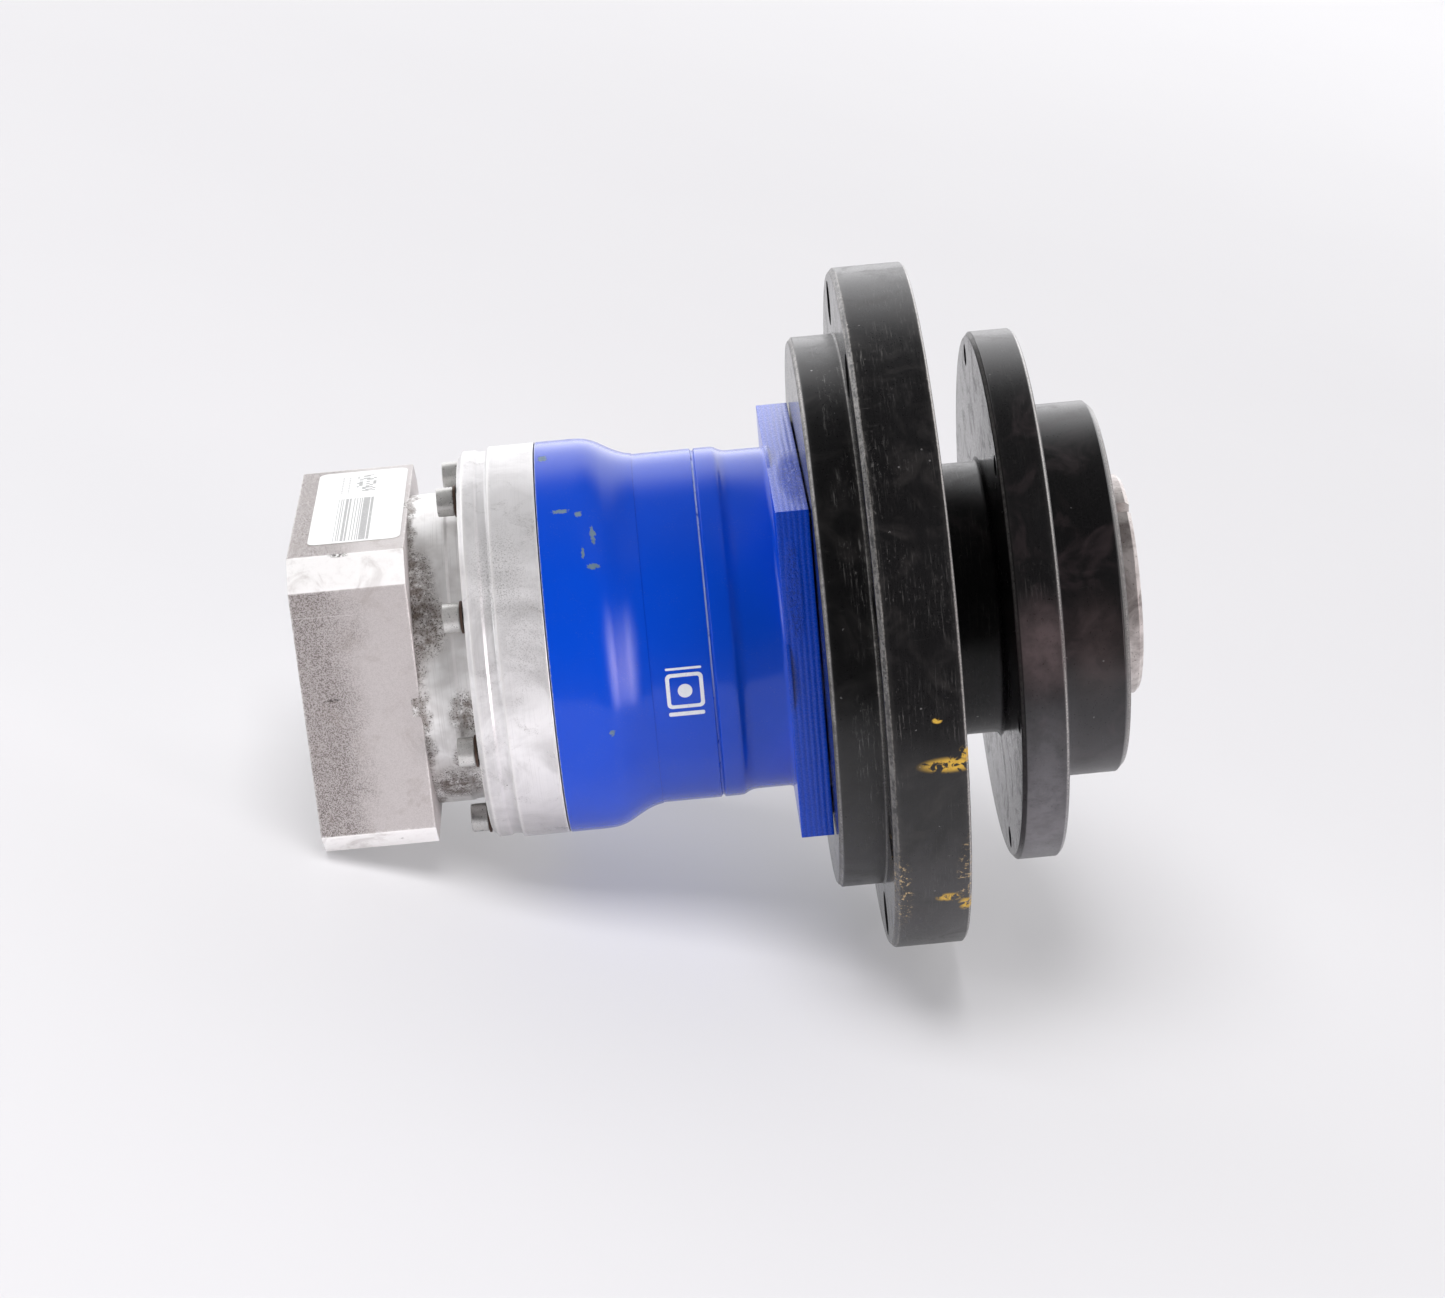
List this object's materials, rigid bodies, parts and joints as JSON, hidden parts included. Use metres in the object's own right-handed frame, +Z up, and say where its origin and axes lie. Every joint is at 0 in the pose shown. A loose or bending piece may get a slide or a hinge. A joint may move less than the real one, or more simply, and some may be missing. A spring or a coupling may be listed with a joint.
{
  "type": "planetary gearbox",
  "caption": "Coaxial planetary servo gearbox: square motor adapter, painted ring-gear housing, stepped machine flange and a flanged output hub clamped on the shaft.",
  "frame": {"origin": "on the shaft axis, half way between the motor face and the outer end of the clamp bush", "axes": "+X along the shaft from the motor side to the output, +Z up, square to the adapter plate's side that carries the data sticker"},
  "size_m": [0.2448, 0.204, 0.204],
  "materials": {
    "adapter_cast": "blasted, dull",
    "cover_aluminium": "fine turned",
    "blue_paint": "gloss paint",
    "black_oxide_flange": "black oxide, satin, worn edges",
    "black_oxide_hub": "black oxide, satin",
    "bright_steel": "turned",
    "zinc_screw": "zinc plated, knurled head",
    "black_screw": "black oxide",
    "gear_steel": "ground",
    "bearing_steel": "polished",
    "bearing_cage": "machined",
    "bronze_bush": "machined",
    "rubber_black": "matt"
  },
  "bodies": {
    "housing": {"motor_adapter": "adapter_cast", "access_plug": "rubber_black", "input_cover": "cover_aluminium", "ring_gear_housing": "blue_paint", "ring_gear": "gear_steel", "machine_flange": "black_oxide_flange", "rear_bearing_outer": "bearing_steel", "front_bearing_outer": "bearing_steel", "bearing_spacer": "gear_steel", "output_seal": "rubber_black", "input_bearing_outer": "bearing_steel", "input_seal": "rubber_black", "adapter_screw_1": "black_screw", "adapter_screw_2": "black_screw", "adapter_screw_3": "black_screw", "adapter_screw_4": "black_screw", "cover_screw_1": "zinc_screw", "cover_screw_2": "zinc_screw", "cover_screw_3": "zinc_screw", "cover_screw_4": "zinc_screw", "cover_screw_5": "zinc_screw", "cover_screw_6": "zinc_screw", "cover_screw_7": "zinc_screw", "cover_screw_8": "zinc_screw", "flange_screw_1": "black_screw", "flange_screw_2": "black_screw", "flange_screw_3": "black_screw", "flange_screw_4": "black_screw"},
    "output": {"planet_carrier_shaft": "gear_steel", "output_hub": "black_oxide_hub", "clamp_bush": "bright_steel", "rear_bearing_inner": "bearing_steel", "front_bearing_inner": "bearing_steel", "bush_screw_1": "black_screw", "bush_screw_2": "black_screw", "bush_screw_3": "black_screw", "planet_pin_1": "bearing_steel", "planet_pin_2": "bearing_steel", "planet_pin_3": "bearing_steel"},
    "planet_1": {"planet_gear_1": "gear_steel", "planet_bush_1": "bronze_bush"},
    "planet_2": {"planet_gear_2": "gear_steel", "planet_bush_2": "bronze_bush"},
    "planet_3": {"planet_gear_3": "gear_steel", "planet_bush_3": "bronze_bush"},
    "input": {"sun_gear_shaft": "gear_steel", "clamp_collar": "cover_aluminium", "clamp_screw": "black_screw", "input_bearing_inner": "bearing_steel"},
    "rear_cage": {"rear_bearing_balls": "bearing_cage"},
    "front_cage": {"front_bearing_balls": "bearing_cage"},
    "input_cage": {"input_bearing_balls": "bearing_cage"}
  },
  "joints": [
    {"name": "output_spin", "type": "hinge", "parent": "housing", "child": "output", "pos_m": [0, 0, 0], "axis": [1, 0, 0], "continuous": true},
    {"name": "input_spin", "type": "hinge", "parent": "housing", "child": "input", "pos_m": [0, 0, 0], "axis": [1, 0, 0], "continuous": true},
    {"name": "rear_cage_spin", "type": "hinge", "parent": "housing", "child": "rear_cage", "pos_m": [0, 0, 0], "axis": [1, 0, 0], "continuous": true},
    {"name": "front_cage_spin", "type": "hinge", "parent": "housing", "child": "front_cage", "pos_m": [0, 0, 0], "axis": [1, 0, 0], "continuous": true},
    {"name": "input_cage_spin", "type": "hinge", "parent": "housing", "child": "input_cage", "pos_m": [0, 0, 0], "axis": [1, 0, 0], "continuous": true},
    {"name": "planet_1_spin", "type": "hinge", "parent": "output", "child": "planet_1", "pos_m": [-0.0304, 0, 0.027], "axis": [1, 0, 0], "continuous": true},
    {"name": "planet_2_spin", "type": "hinge", "parent": "output", "child": "planet_2", "pos_m": [-0.0304, -0.02338, -0.0135], "axis": [1, 0, 0], "continuous": true},
    {"name": "planet_3_spin", "type": "hinge", "parent": "output", "child": "planet_3", "pos_m": [-0.0304, 0.02338, -0.0135], "axis": [1, 0, 0], "continuous": true}
  ],
  "couplings": [
    {"joint": "input_spin", "follows": "output_spin", "ratio": 4},
    {"joint": "rear_cage_spin", "follows": "output_spin", "ratio": 0.45},
    {"joint": "front_cage_spin", "follows": "output_spin", "ratio": 0.45},
    {"joint": "input_cage_spin", "follows": "output_spin", "ratio": 1.8},
    {"joint": "planet_1_spin", "follows": "output_spin", "ratio": -3},
    {"joint": "planet_2_spin", "follows": "output_spin", "ratio": -3},
    {"joint": "planet_3_spin", "follows": "output_spin", "ratio": -3}
  ]
}
